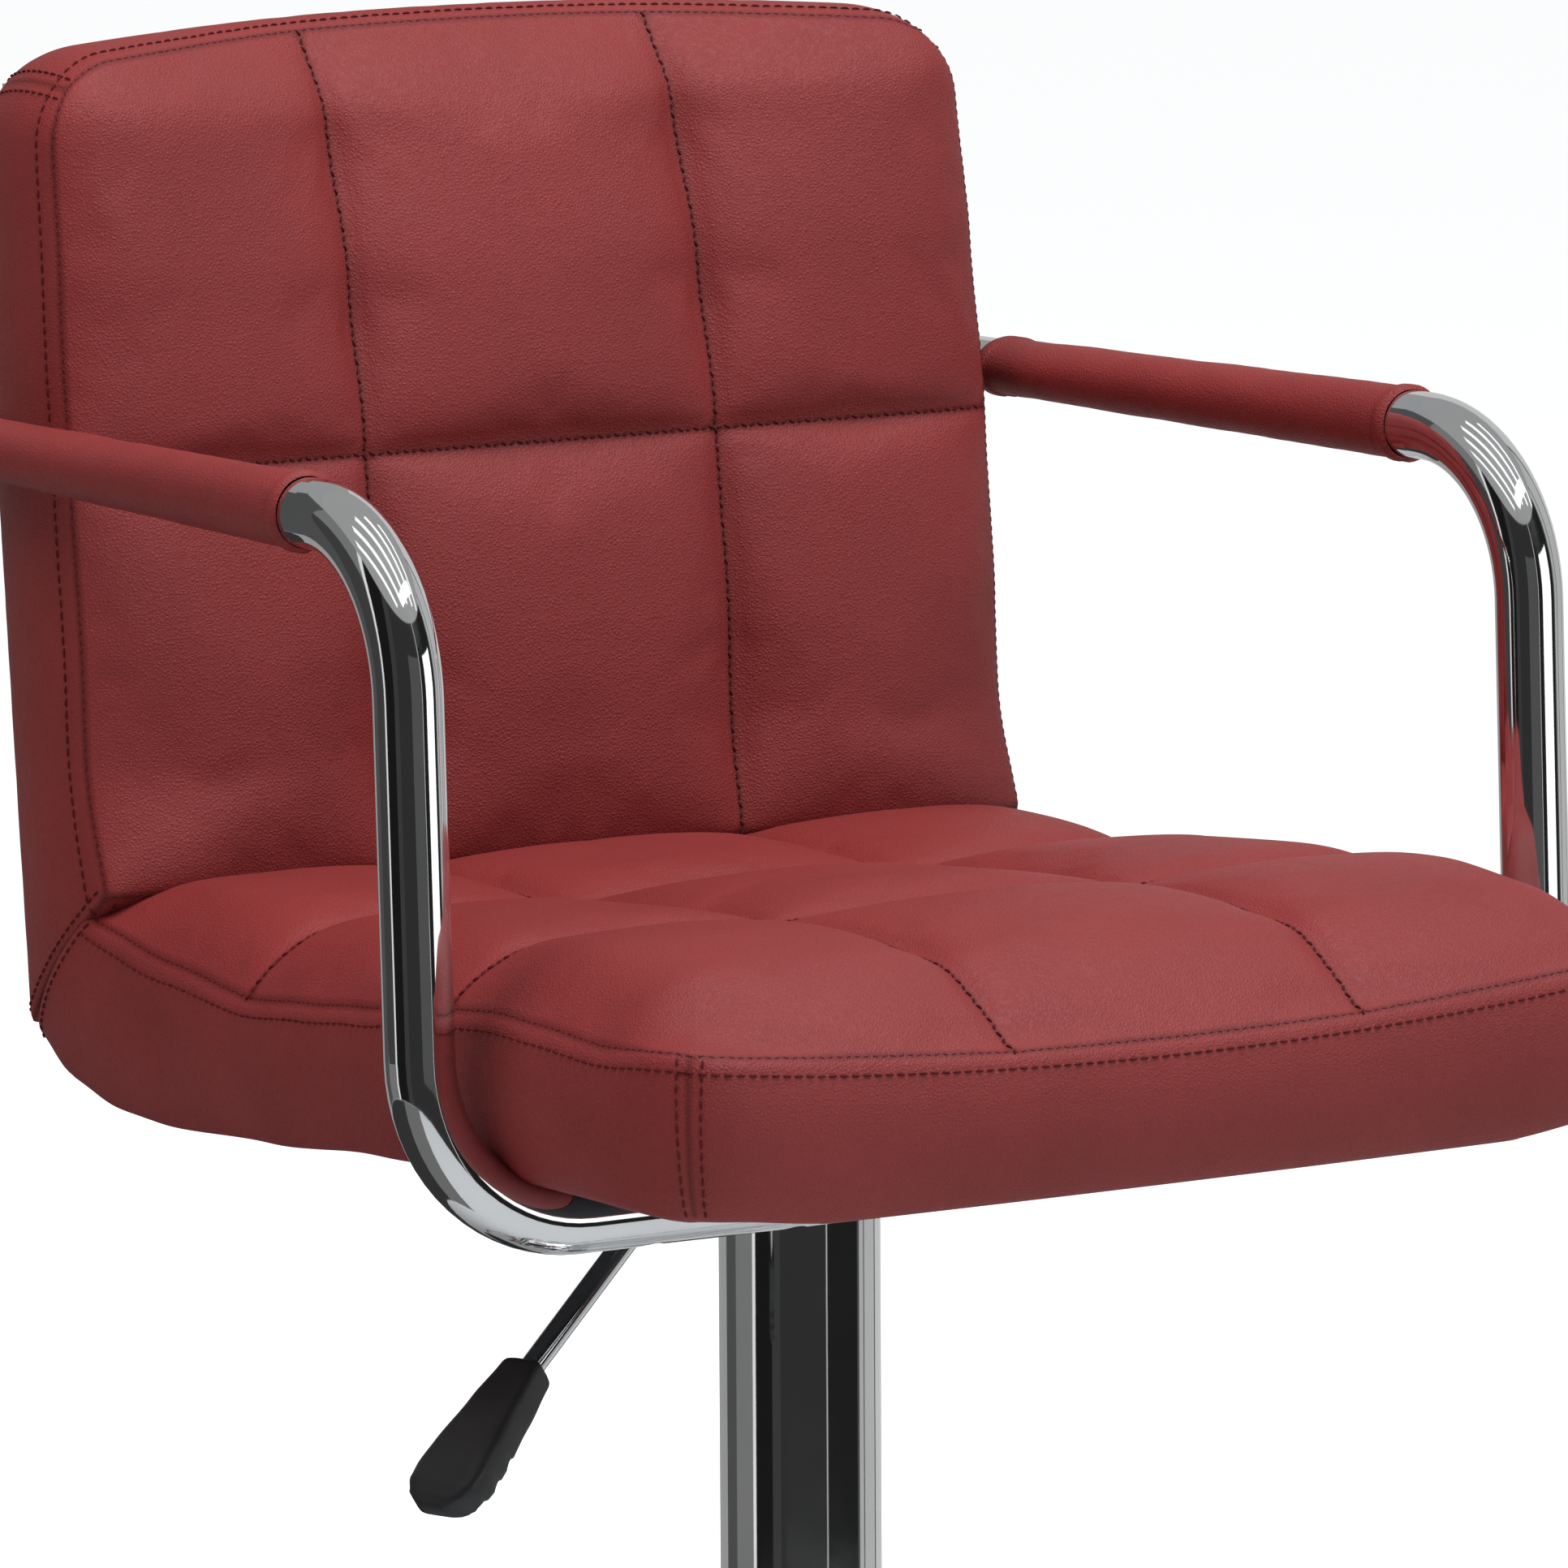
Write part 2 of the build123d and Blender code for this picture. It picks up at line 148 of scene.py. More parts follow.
class Pad:
    """A quilted face, its boxing and its rear edge, as one grid mesh with named seams."""

    def __init__(self, us, vs, u_marks, v_marks):
        self.us, self.vs = us, vs
        self.u_marks, self.v_marks = u_marks, v_marks
        self.verts, self.faces, self.pins, self.seam_shade = [], [], [], []
        self.rows = []

    def at(self, i, j):
        return j * len(self.us) + i

    def add_point(self, point, pin, seam_shade):
        self.verts.append(point)
        self.pins.append(pin)
        self.seam_shade.append(seam_shade)
        return len(self.verts) - 1

    def bridge(self, last, row):
        for k in range(len(row)):
            m = (k + 1) % len(row)
            self.faces.append((last[k], row[k], row[m], last[m]))

    def loop(self):
        """The numbers of the face's outline points, in order."""
        nu, nv = len(self.us), len(self.vs)
        ring = [self.at(i, 0) for i in range(nu)]
        ring += [self.at(nu - 1, j) for j in range(1, nv)]
        ring += [self.at(i, nv - 1) for i in range(nu - 2, -1, -1)]
        ring += [self.at(0, j) for j in range(nv - 2, 0, -1)]
        return ring

    def add_face(self, place):
        nu, nv = len(self.us), len(self.vs)
        for j, v in enumerate(self.vs):
            for i, u in enumerate(self.us):
                # seam vertices are pinned, and the vinyl gets painted shade there
                sewn = 1.0 if i in self.u_marks or j in self.v_marks else 0.0
                self.add_point(place(u, v), sewn, sewn)
        for j in range(nv - 1):
            for i in range(nu - 1):
                a = self.at(i, j)
                self.faces.append((a, a + 1, a + nu + 1, a + nu))

    def add_wall(self, steps, place, hidden):
        """steps: fractions from the face to the rear edge. Where hidden(u, v), the wall is pinned."""
        ring = self.loop()
        uv = [(self.us[k % len(self.us)], self.vs[k // len(self.us)]) for k in ring]
        last = ring
        self.rows.append(ring)
        for n, t in enumerate(steps):
            row = []
            for u, v in uv:
                corner = u in (self.us[0], self.us[-1]) and v in (self.vs[0], self.vs[-1])
                pinned = n == len(steps) - 1 or corner or hidden(u, v)
                # the boxing's corner lines get painted seam shade
                row.append(self.add_point(place(u, v, t), 1.0 if pinned else 0.0, 1.0 if corner else 0.0))
            self.bridge(last, row)
            self.rows.append(row)
            last = row

    def close(self, rings):
        """Turns the rear edge under. rings: how each further row is moved from the last row."""
        last = self.rows[-1]
        base = [self.verts[k].copy() for k in last]
        for move in rings:
            row = [self.add_point(move(point), 1.0, 0.0) for point in base]
            self.bridge(last, row)
            last = row

    def cap(self, ring, bulge):
        """Fills the rear with a grid between the ring's points."""
        nu, nv = len(self.us), len(self.vs)
        index = dict(zip(self.loop(), ring))
        for j in range(1, nv - 1):
            left = self.verts[index[self.at(0, j)]]
            right = self.verts[index[self.at(nu - 1, j)]]
            for i in range(1, nu - 1):
                s = (self.us[i] - self.us[0]) / (self.us[-1] - self.us[0])
                t = j / (nv - 1)
                low = self.verts[index[self.at(i, 0)]]
                high = self.verts[index[self.at(i, nv - 1)]]
                point = left.lerp(right, s)
                point.z = low.z + (high.z - low.z) * t
                rise = (1 - abs(2 * s - 1) ** 3) * (1 - abs(2 * t - 1) ** 3)
                index[self.at(i, j)] = self.add_point(point + bulge * rise, 1.0, 0.0)
        for j in range(nv - 1):
            for i in range(nu - 1):
                a = self.at(i, j)
                self.faces.append(tuple(index[k] for k in (a, a + nu, a + nu + 1, a + 1)))

    def build(self, name):
        obj = new_object(name, [v * MM for v in self.verts], self.faces)
        obj.data.update()
        store_seam_shade(obj.data, self.seam_shade)
        fix_normals(obj.data)
        return obj


def fix_normals(mesh):
    bm = bmesh.new()
    bm.from_mesh(mesh)
    bmesh.ops.recalc_face_normals(bm, faces=bm.faces)
    bm.to_mesh(mesh)
    bm.free()
    for poly in mesh.polygons:
        poly.use_smooth = True


CLOTH_PRESSURE = 2.0
CLOTH_GROWTH = 0.0035
CLOTH_LIMIT = 0.004
CLOTH_FRAMES = 20
BOXING_SHARE = 0.35


def inflate(obj, pins, faced):
    """Pinned cloth under pressure: the seams stay, the padding between them swells and puckers.

    The boxing, every vertex from number faced on, is stretched over its edge and moves less.
    """
    group = obj.vertex_groups.new(name="pins")
    for k, weight in enumerate(pins):
        if weight > 0:
            group.add([k], weight, "REPLACE")
    before = [v.co.copy() for v in obj.data.vertices]
    mod = obj.modifiers.new("cloth", "CLOTH")
    cloth = mod.settings
    cloth.quality = 6
    cloth.mass = 0.25
    cloth.tension_stiffness = 25
    cloth.compression_stiffness = 25
    cloth.shear_stiffness = 10
    cloth.bending_stiffness = 0.6
    cloth.tension_damping = 8
    cloth.compression_damping = 8
    cloth.air_damping = 3
    cloth.vertex_group_mass = "pins"
    cloth.use_pressure = True
    cloth.uniform_pressure_force = CLOTH_PRESSURE
    cloth.shrink_min = -CLOTH_GROWTH
    cloth.effector_weights.gravity = 0
    mod.collision_settings.use_collision = False
    scene = bpy.context.scene
    for number in range(1, CLOTH_FRAMES + 1):
        scene.frame_set(number)
    graph = bpy.context.evaluated_depsgraph_get()
    result = obj.evaluated_get(graph).to_mesh()
    after = [v.co.copy() for v in result.vertices]
    obj.evaluated_get(graph).to_mesh_clear()
    obj.modifiers.clear()
    scene.frame_set(1)
    for vert, old, new in zip(obj.data.vertices, before, after):
        move = (new - old) * (1.0 if vert.index < faced else BOXING_SHARE)
        if move.length > CLOTH_LIMIT:
            move *= CLOTH_LIMIT / move.length
        vert.co = old + move
    obj.data.update()


SEAM_DEPTH = 1.8
SEAM_FADE = 22
PUFF_POWER = 0.75


# ---- seat, in millimetres

SEAT_X = [-212, -76, 76, 212]
SEAT_Y = [-248, -102, 46, 168]
SEAT_PUFF = 7.5
SEAT_HUMP = 3.0
SEAT_CROWN = 38
SEAT_CORNER = 42
SEAT_BULGE = 7.0
SIDE_SEAM = [(-245, 596), (-200, 593), (-162, 595), (-135, 596), (-95, 593), (-39, 585), (-1, 581),
             (46, 577), (106, 582), (162, 590), (168, 594)]
SEAM_LEVEL = [(-252, 586), (-236, 600), (-205, 611), (-160, 614), (-102, 613), (-30, 605), (46, 600),
              (110, 600), (168, 598)]
SIDE_FOOT = [(-245, 538), (-143, 540), (-36, 533), (40, 526), (119, 521), (155, 522), (190, 529), (214, 543)]


def half_width(y):
    return table(y, [(-248, 208), (-200, 211), (-110, 213), (0, 210), (100, 206), (168, 204.5)])


def seat_plan(u, v, radius=21.0):
    """Flat position of a grid point, with rounded front corners and a bowed front."""
    w = half_width(v)
    x = u / SEAT_X[-1] * w
    y = v
    front = SEAT_Y[0]
    a = (abs(x) - (w - radius)) / radius
    b = (front + radius - y) / radius
    if a > 0 and b > 0:
        a2, b2 = rounded(a, b)
        x = math.copysign(w - radius + a2 * radius, x)
        y = front + radius - b2 * radius
    bow = smooth((-120 - y) / 130) * 5 * (1 - (x / 215) ** 2)
    return x, y - bow


def seat_edge_height(x, y):
    front = 584.5 + 11.5 * min(1.0, abs(x) / 205) ** 2
    side = table(y, SIDE_SEAM)
    return side + (front - side) * smooth((-205 - y) / 42)


def seat_point(u, v):
    x, y = seat_plan(u, v)
    w = half_width(v)
    edge = seat_edge_height(x, y)
    d_side = w - abs(u / SEAT_X[-1] * w)
    d_front = v - SEAT_Y[0]
    d = min(d_side, d_front)
    if d_side < SEAT_CORNER and d_front < SEAT_CORNER:
        d = SEAT_CORNER - math.hypot(SEAT_CORNER - d_side, SEAT_CORNER - d_front)
    inner = table(y, SEAM_LEVEL)
    level = edge + (inner - edge) * math.sin(math.pi / 2 * min(1.0, max(0.0, d) / SEAT_CROWN)) ** 0.85
    puff = hump(u, SEAT_X, SEAT_HUMP) * hump(v, SEAT_Y, SEAT_HUMP)
    groove = SEAM_DEPTH * smooth(d / SEAM_FADE) if u in SEAT_X[1:-1] or v in SEAT_Y[1:-1] else 0.0
    return Vector((x, y, level - groove + SEAT_PUFF * puff ** PUFF_POWER))


def seat_wall(u, v, t):
    top = seat_point(u, v)
    rear = smooth((v - 40) / 128)
    y_low = top.y + 46 * rear ** 1.6 + (4 if v == SEAT_Y[0] else 0)
    x_low = top.x * 0.985
    z_low = table(y_low, SIDE_FOOT)
    if top.y < -200:
        z_low += (533 - z_low) * smooth((205 - abs(top.x)) / 60)
    low = Vector((x_low, y_low, z_low))
    point = top.lerp(low, t)
    dx = smooth((abs(u) - 180) / 32) * (1 if abs(u) > 180 else 0)
    dy = smooth((-206 - v) / 42)
    out = Vector((math.copysign(dx, u), -dy, 0))
    if out.length > 0:
        out.normalize()
    if v == SEAT_Y[-1] and abs(u) < SEAT_X[-1]:
        out = Vector((0, 0, 0))
    return point + out * SEAT_BULGE * math.sin(math.pi * min(1, t * 0.96 + 0.04)) ** 0.7


def inward(point, amount, z=None):
    x = point.x - math.copysign(min(abs(point.x), amount), point.x)
    y = point.y + (amount if point.y < 0 else -amount)
    if abs(point.x) < 150:
        x = point.x
    if -200 < point.y < 190:
        y = point.y
    return Vector((x, y, point.z if z is None else z))


def make_seat():
    us, um = spans(SEAT_X, [28, 32, 28])
    vs, vm = spans(SEAT_Y, [30, 30, 26])
    pad = Pad(us, vs, um, vm)
    pad.add_face(seat_point)
    steps = [0.05, 0.10, 0.17, 0.26, 0.35, 0.45, 0.55, 0.64, 0.73, 0.82, 0.91, 1.0]
    pad.add_wall(steps, seat_wall, lambda u, v: v == SEAT_Y[-1] and abs(u) < 205)
    pad.close([lambda p: inward(p, 3, p.z - 2.2), lambda p: inward(p, 9, min(p.z - 2.6, 534)),
               lambda p: inward(p, 22, min(p.z - 2.4, 532.6)), lambda p: inward(p, 26, 533.6)])
    obj = pad.build("seat_pad")
    inflate(obj, pad.pins, len(pad.us) * len(pad.vs))
    return pad, obj


# ---- back, in millimetres

BACK_X = [-204, -78, 78, 204]
BACK_Z = [600, 755, 912]
BACK_PUFF = 8.0
BACK_HUMP = 4.5
BACK_RISE = 35
BACK_BULGE = 5.0
EDGE_Y = [(589, 163), (603, 167), (680, 171), (750, 177.5), (820, 186), (883, 194), (912, 200)]
MID_Y = [(598, 168), (680, 171), (755, 179), (820, 192), (880, 209), (912, 226)]


def back_half(z):
    return table(z, [(600, 204.5), (760, 204.5), (912, 201)])


def back_plan(u, v, radius=30.0):
    w = back_half(v)
    x = u / BACK_X[-1] * w
    z = v
    top = BACK_Z[-1]
    a = (abs(x) - (w - radius)) / radius
    b = (z - (top - radius)) / radius
    if a > 0 and b > 0:
        a2, b2 = rounded(a, b)
        x = math.copysign(w - radius + a2 * radius, x)
        z = top - radius + b2 * radius
    z += smooth((z - 800) / 112) * (1 - 9 * (x / 200) ** 2)
    return x, z


def back_point(u, v):
    """A point of the back's face, which turns forward into the seat at its foot."""
    x, z = back_plan(u, v)
    side = table(z, EDGE_Y)
    mid = table(z, MID_Y)
    blend = 1 - smooth((abs(x) - 60) / 135)
    y = side + (mid - side) * blend - (16 - 8 * blend) * smooth((648 - z) / 70)
    d = min(BACK_X[-1] - abs(u), BACK_Z[-1] - v)
    lift = 6.0 * math.sin(math.pi / 2 * min(1.0, max(0.0, d) / BACK_RISE))
    puff = hump(u, BACK_X, BACK_HUMP) * hump(v, BACK_Z, BACK_HUMP)
    groove = SEAM_DEPTH * smooth(d / SEAM_FADE) if u in BACK_X[1:-1] or v in BACK_Z[1:-1] else 0.0
    return Vector((x, y + groove - lift * 0.7 - BACK_PUFF * puff ** PUFF_POWER, z))


def rear_plane(z):
    return 222 + (z - 545) * 34 / 360


def back_wall(u, v, t):
    front = back_point(u, v)
    low = smooth((700 - v) / 100)
    z_rear = front.z - 57 * low ** 1.5
    z_rear -= 3 * smooth((v - 880) / 32)
    rear = Vector((front.x * 0.985, rear_plane(z_rear) - 3, z_rear))
    point = front.lerp(rear, t)
    dx = 1.0 if abs(u) == BACK_X[-1] else smooth((abs(u) - 176) / 28)
    dz = 1.0 if v == BACK_Z[-1] else smooth((v - 884) / 28)
    if v == BACK_Z[0] and abs(u) < BACK_X[-1]:
        dx, dz = 0, 0
    out = Vector((math.copysign(dx, u), 0, dz))
    if out.length > 0:
        out.normalize()
    return point + out * BACK_BULGE * math.sin(math.pi * t) ** 0.8


def make_back():
    us, um = spans(BACK_X, [26, 32, 26])
    vs, vm = spans(BACK_Z, [32, 32])
    pad = Pad(us, vs, um, vm)
    pad.add_face(back_point)
    steps = [0.065, 0.13, 0.23, 0.34, 0.44, 0.54, 0.64, 0.74, 0.84, 0.93, 1.0]
    pad.add_wall(steps, back_wall, lambda u, v: v == BACK_Z[0] and abs(u) < 198)
    pad.cap(pad.rows[-1], Vector((0, 3.0, 0)))
    obj = pad.build("back_pad")
    inflate(obj, pad.pins, len(pad.us) * len(pad.vs))
    return pad, obj


# ---------------------------------------------------------------- stitches

def resample(points, pitch):
    out = []
    carry = 0.0
    for a, b in zip(points, points[1:]):
        step = (b - a).length
        while carry <= step and step > 0:
            out.append((a.lerp(b, carry / step), (b - a).normalized()))
            carry += pitch
        carry -= step
    return out


class Thread:
    """Collects many small stitches into one mesh."""

    def __init__(self):
        self.verts, self.faces = [], []

    def stitch(self, centre, along, up, length, radius):
        side = along.cross(up).normalized()
        up = side.cross(along).normalized()
        rings = [(-0.5, 0.35, -0.5), (-0.25, 1.0, 0.3), (0.25, 1.0, 0.3), (0.5, 0.35, -0.5)]
        base = len(self.verts)
        for s, r, h in rings:
            mid = centre + along * (s * length) + up * (h * radius)
            for k in range(6):
                angle = k * math.pi / 3
                self.verts.append(mid + (side * math.cos(angle) + up * math.sin(angle)) * (r * radius))
        self.faces += tube_faces(len(rings), 6, base)

    def run(self, points, up_of, pitch, length, radius, slant, lift):
        for n, (point, along) in enumerate(resample(points, pitch)):
            up = up_of(point)
            turn = Matrix.Rotation((slant if n % 2 else -slant) + RNG.uniform(-0.05, 0.05), 3, up)
            self.stitch(point + up * lift, turn @ along, up, length * RNG.uniform(0.92, 1.05), radius)

    def build(self, name):
        obj = new_object(name, self.verts, self.faces)
        fix_normals(obj.data)
        return obj


def normals_near(obj):
    tree = KDTree(len(obj.data.vertices))
    for k, v in enumerate(obj.data.vertices):
        tree.insert(v.co, k)
    tree.balance()
    return lambda p: obj.data.vertices[tree.find(p)[1]].normal.copy()


def smoothed_spots(obj):
    """Where each vertex lies on the surface after its smoothing."""
    soft = obj.evaluated_get(bpy.context.evaluated_depsgraph_get())
    mesh = soft.to_mesh()
    spots = [mesh.vertices[k].co.copy() for k in range(len(obj.data.vertices))]
    soft.to_mesh_clear()
    return spots


# pitch, length, radius, slant and lift of a stitch, in metres and radians
QUILT_STITCH = (0.0036, 0.0029, 0.00046, 0.42, 0.0003)
RIM_STITCH = (0.0036, 0.0029, 0.0003, 0.3, -0.00015)
TOP_STITCH = (0.0046, 0.0034, 0.0004, 0.0, 0.0003)


def sew(pad, obj, name):
    co = smoothed_spots(obj)
    up_of = normals_near(obj)
    thread = Thread()
    nu, nv = len(pad.us), len(pad.vs)
    for i in pad.u_marks[1:-1]:
        line = [co[pad.at(i, j)] for j in range(nv)]
        thread.run(line, up_of, *QUILT_STITCH)
    for j in pad.v_marks[1:-1]:
        line = [co[pad.at(i, j)] for i in range(nu)]
        thread.run(line, up_of, *QUILT_STITCH)
    seam = [co[k] for k in pad.rows[0]]
    thread.run(seam + seam[:1], up_of, *RIM_STITCH)
    row = [co[k] for k in pad.rows[2]]
    thread.run(row + row[:1], up_of, *TOP_STITCH)
    count = len(pad.rows[0])
    for corner in (0, nu - 1, nu + nv - 2, 2 * nu + nv - 3):
        for shift in (-1, 1):
            line = [co[r[(corner + shift) % count]] for r in pad.rows[1:]]
            thread.run(line, up_of, *TOP_STITCH)
    return thread.build(name)


# ---------------------------------------------------------------- armrest wraps

ARM_FRONT = Vector((242, -122, 766.5))
ARM_REAR = Vector((230, 259, 766.5))


def arm_line(y):
    t = (y - ARM_FRONT.y) / (ARM_REAR.y - ARM_FRONT.y)
    return ARM_FRONT.lerp(ARM_REAR, t)


WRAP_FRONT, WRAP_REAR = -53.6, 203.6
WRAP_RING = 40
WRAP_SEAM = 4.55


def make_wrap(side, name):
    """Vinyl sleeve around the tube, gathered slightly, with a turned hem at each end."""
    verts, seam_shade = [], []
    stations = [-53.6, -53.4, -52.4, -50.5, -48.6, -47.6, -47.2, -46.4]
    stations += [-44 + 4.0 * k for k in range(61)]
    stations += [197.6, 198.2, 199.2, 201.0, 202.6, 203.4, 203.6]
    for y in stations:
        t = (y + 52) / 254
        a = 13.9 + (15.6 - 13.9) * t
        b = 13.9 + (11.0 - 13.9) * t
        edge = min(y - WRAP_FRONT, WRAP_REAR - y)
        hem = 0.9 * (1 - smooth((edge - 5.4) / 1.2)) * smooth((edge + 0.1) / 1.0)
        lip = -1.0 * (1 - smooth(edge / 0.8))
        groove = -0.5 * max(0.0, 1 - abs(edge - 6.8) / 1.2)
        middle = arm_line(y)
        for k in range(WRAP_RING):
            angle = 2 * math.pi * k / WRAP_RING
            c, s = math.cos(angle), math.sin(angle)
            lump = 0.35 * noise.noise(Vector((y * 0.03, c * 0.8 + side * 5, s * 0.8)))
            lump += 0.16 * noise.noise(Vector((y * 0.11, c * 2.0, s * 2.0 + side * 3)))
            seam = -0.55 * math.exp(-((angle - WRAP_SEAM) / 0.06) ** 2)
            r = hem + lip + groove + lump + seam
            verts.append(Vector((side * (middle.x + c * (a + r)), middle.y, middle.z + s * (b + r))) * MM)
            # painted shade in the groove beside each hem and along the sleeve's seam
            near = max(0.0, 1 - abs(edge - 6.6) / 1.6) + math.exp(-((angle - WRAP_SEAM) / 0.07) ** 2)
            seam_shade.append(min(1.0, near))
    obj = new_object(name, verts, tube_faces(len(stations), WRAP_RING))
    store_seam_shade(obj.data, seam_shade)
    fix_normals(obj.data)
    return obj


# ---------------------------------------------------------------- lever handle

LEVER_TURN = math.radians(20)
LEVER_OUT = Vector((-math.cos(LEVER_TURN), -math.sin(LEVER_TURN), 0))
LEVER_SIDE = Vector((math.sin(LEVER_TURN), -math.cos(LEVER_TURN), 0))
UP = Vector((0, 0, 1))
HANDLE_FALL = math.radians(37.5)
HANDLE_LENGTH = 70.0
HANDLE_START = 5
HANDLE_SQUARENESS = 0.38
HANDLE_WIDE = [(0, 6.8), (1.2, 8.0), (3, 8.6), (22, 11.2), (44, 14.2), (54, 15.2), (61, 14.6), (66, 12.2),
               (69, 8.4), (70, 5.4)]
HANDLE_THICK = [(0, 5.2), (1.2, 6.4), (3, 6.9), (22, 7.6), (48, 7.9), (61, 7.2), (67, 5.6), (69.4, 4.0),
                (70, 2.6)]
NOTCH_FROM, NOTCH_TO, NOTCH_PITCH, NOTCH_DEPTH = 37, 68, 10.4, 2.0


def make_handle():
    """Moulded paddle: narrow neck, flat rounded end, finger notches on the underside."""
    axis = LEVER_OUT * math.cos(HANDLE_FALL) - UP * math.sin(HANDLE_FALL)
    top = LEVER_OUT * math.sin(HANDLE_FALL) + UP * math.cos(HANDLE_FALL)
    start = LEVER_OUT * 158 + UP * 454
    verts = []
    sections = 54
    ring = 36
    for n in range(sections + 1):
        s = HANDLE_LENGTH * n / sections
        wide = table(s, HANDLE_WIDE)
        thick = table(s, HANDLE_THICK)
        for k in range(ring):
            angle = 2 * math.pi * k / ring
            c, h = math.cos(angle), math.sin(angle)
            x = math.copysign(abs(c) ** HANDLE_SQUARENESS, c) * wide
            y = math.copysign(abs(h) ** HANDLE_SQUARENESS, h) * thick
            if h < -0.2 and NOTCH_FROM < s < NOTCH_TO:
                wave = max(0.0, math.sin((s - NOTCH_FROM) * 2 * math.pi / NOTCH_PITCH))
                y += NOTCH_DEPTH * wave ** 0.7 * smooth((-0.2 - h) / 0.3)
            verts.append((start + axis * (s + HANDLE_START) + LEVER_SIDE * x + top * y) * MM)
    faces = tube_faces(sections + 1, ring)
    faces.append(tuple(range(ring)))
    faces.append(tuple(range(sections * ring, (sections + 1) * ring)))
    obj = new_object("lever_grip", verts, faces)
    fix_normals(obj.data)
    return obj


# ---------------------------------------------------------------- materials

def node(tree, kind, **values):
    n = tree.nodes.new(kind)
    for key, value in values.items():
        setattr(n, key, value)
    return n


def new_material(name):
    mat = bpy.data.materials.new(name)
    mat.use_nodes = True
    tree = mat.node_tree
    shader = tree.nodes["Principled BSDF"]
    coord = node(tree, "ShaderNodeTexCoord")
    return mat, tree, shader, coord.outputs["Object"]


def noise_tex(tree, coord, scale, detail=4.0, rough=0.55, stretch=None):
    tex = node(tree, "ShaderNodeTexNoise")
    tex.inputs["Scale"].default_value = scale
    tex.inputs["Detail"].default_value = detail
    tex.inputs["Roughness"].default_value = rough
    if stretch:
        mapping = node(tree, "ShaderNodeMapping")
        mapping.inputs["Scale"].default_value = stretch
        tree.links.new(coord, mapping.inputs["Vector"])
        coord = mapping.outputs["Vector"]
    tree.links.new(coord, tex.inputs["Vector"])
    return tex.outputs["Fac"]


def ramp(tree, source, low, high, start=0.3, end=0.7):
    """The colour low up to start, high from end."""
    r = node(tree, "ShaderNodeValToRGB")
    for element, position, colour in zip(r.color_ramp.elements, (start, end), (low, high)):
        element.position = position
        element.color = (*colour, 1)
    tree.links.new(source, r.inputs["Fac"])
    return r.outputs["Color"]


def spread(tree, source, low, high):
    m = node(tree, "ShaderNodeMapRange")
    m.inputs["To Min"].default_value = low
    m.inputs["To Max"].default_value = high
    tree.links.new(source, m.inputs["Value"])
    return m.outputs["Result"]


def bump(tree, shader, height, strength, distance, under=None):
    b = node(tree, "ShaderNodeBump")
    b.inputs["Strength"].default_value = strength
    b.inputs["Distance"].default_value = distance
    tree.links.new(height, b.inputs["Height"])
    if under:
        tree.links.new(under, b.inputs["Normal"])
    tree.links.new(b.outputs["Normal"], shader.inputs["Normal"])
    return b.outputs["Normal"]


def paint(tree, shader, source, low, high):
    tree.links.new(ramp(tree, source, low, high), shader.inputs["Base Color"])


def roughen(tree, shader, source, low, high):
    tree.links.new(spread(tree, source, low, high), shader.inputs["Roughness"])


def vinyl():
    mat, tree, shader, coord = new_material("vinyl_burgundy")
    cloud = noise_tex(tree, coord, 14, 3)
    colour = ramp(tree, cloud, (0.180, 0.019, 0.018), (0.208, 0.023, 0.022))
    # painted shade: in the seams and at the boxing corners the vinyl's colour is mixed towards a deep red,
    # which stands in for the shade in the seam valleys
    attr = node(tree, "ShaderNodeAttribute", attribute_name="seam_shade")
    mix = node(tree, "ShaderNodeMix", data_type="RGBA")
    narrow = node(tree, "ShaderNodeMapRange")
    narrow.inputs["From Min"].default_value = 0.5
    narrow.inputs["To Max"].default_value = 0.85
    tree.links.new(attr.outputs["Fac"], narrow.inputs["Value"])
    tree.links.new(narrow.outputs["Result"], mix.inputs["Factor"])
    tree.links.new(colour, mix.inputs["A"])
    # the deep red of the painted seam shade
    mix.inputs["B"].default_value = (0.095, 0.006, 0.006, 1)
    tree.links.new(mix.outputs["Result"], shader.inputs["Base Color"])
    grain = node(tree, "ShaderNodeTexVoronoi", feature="DISTANCE_TO_EDGE")
    grain.inputs["Scale"].default_value = 720
    tree.links.new(coord, grain.inputs["Vector"])
    soft = noise_tex(tree, coord, 90, 5)
    first = bump(tree, shader, soft, 0.18, 0.0010)
    bump(tree, shader, grain.outputs["Distance"], 0.7, 0.0007, first)
    roughen(tree, shader, noise_tex(tree, coord, 160, 4), 0.48, 0.62)
    shader.inputs["Specular IOR Level"].default_value = 0.26
    return mat


def chrome():
    mat, tree, shader, coord = new_material("chrome_plate")
    shader.inputs["Metallic"].default_value = 1.0
    paint(tree, shader, noise_tex(tree, coord, 20, 3), (0.80, 0.81, 0.82), (0.86, 0.865, 0.87))
    roughen(tree, shader, noise_tex(tree, coord, 60, 6), 0.03, 0.075)
    bump(tree, shader, noise_tex(tree, coord, 35, 3), 0.03, 0.0008)
    return mat


def plastic(name, low, high, rough):
    mat, tree, shader, coord = new_material(name)
    paint(tree, shader, noise_tex(tree, coord, 40, 3), low, high)
    roughen(tree, shader, noise_tex(tree, coord, 300, 4), rough, rough + 0.15)
    bump(tree, shader, noise_tex(tree, coord, 1500, 3), 0.18, 0.0002)
    return mat


def metal(name, low, high, rough, metallic, grain):
    mat, tree, shader, coord = new_material(name)
    shader.inputs["Metallic"].default_value = metallic
    paint(tree, shader, noise_tex(tree, coord, 25, 5), low, high)
    roughen(tree, shader, noise_tex(tree, coord, 200, 4), rough, rough + 0.15)
    bump(tree, shader, noise_tex(tree, coord, grain, 4), 0.15, 0.0004)
    return mat


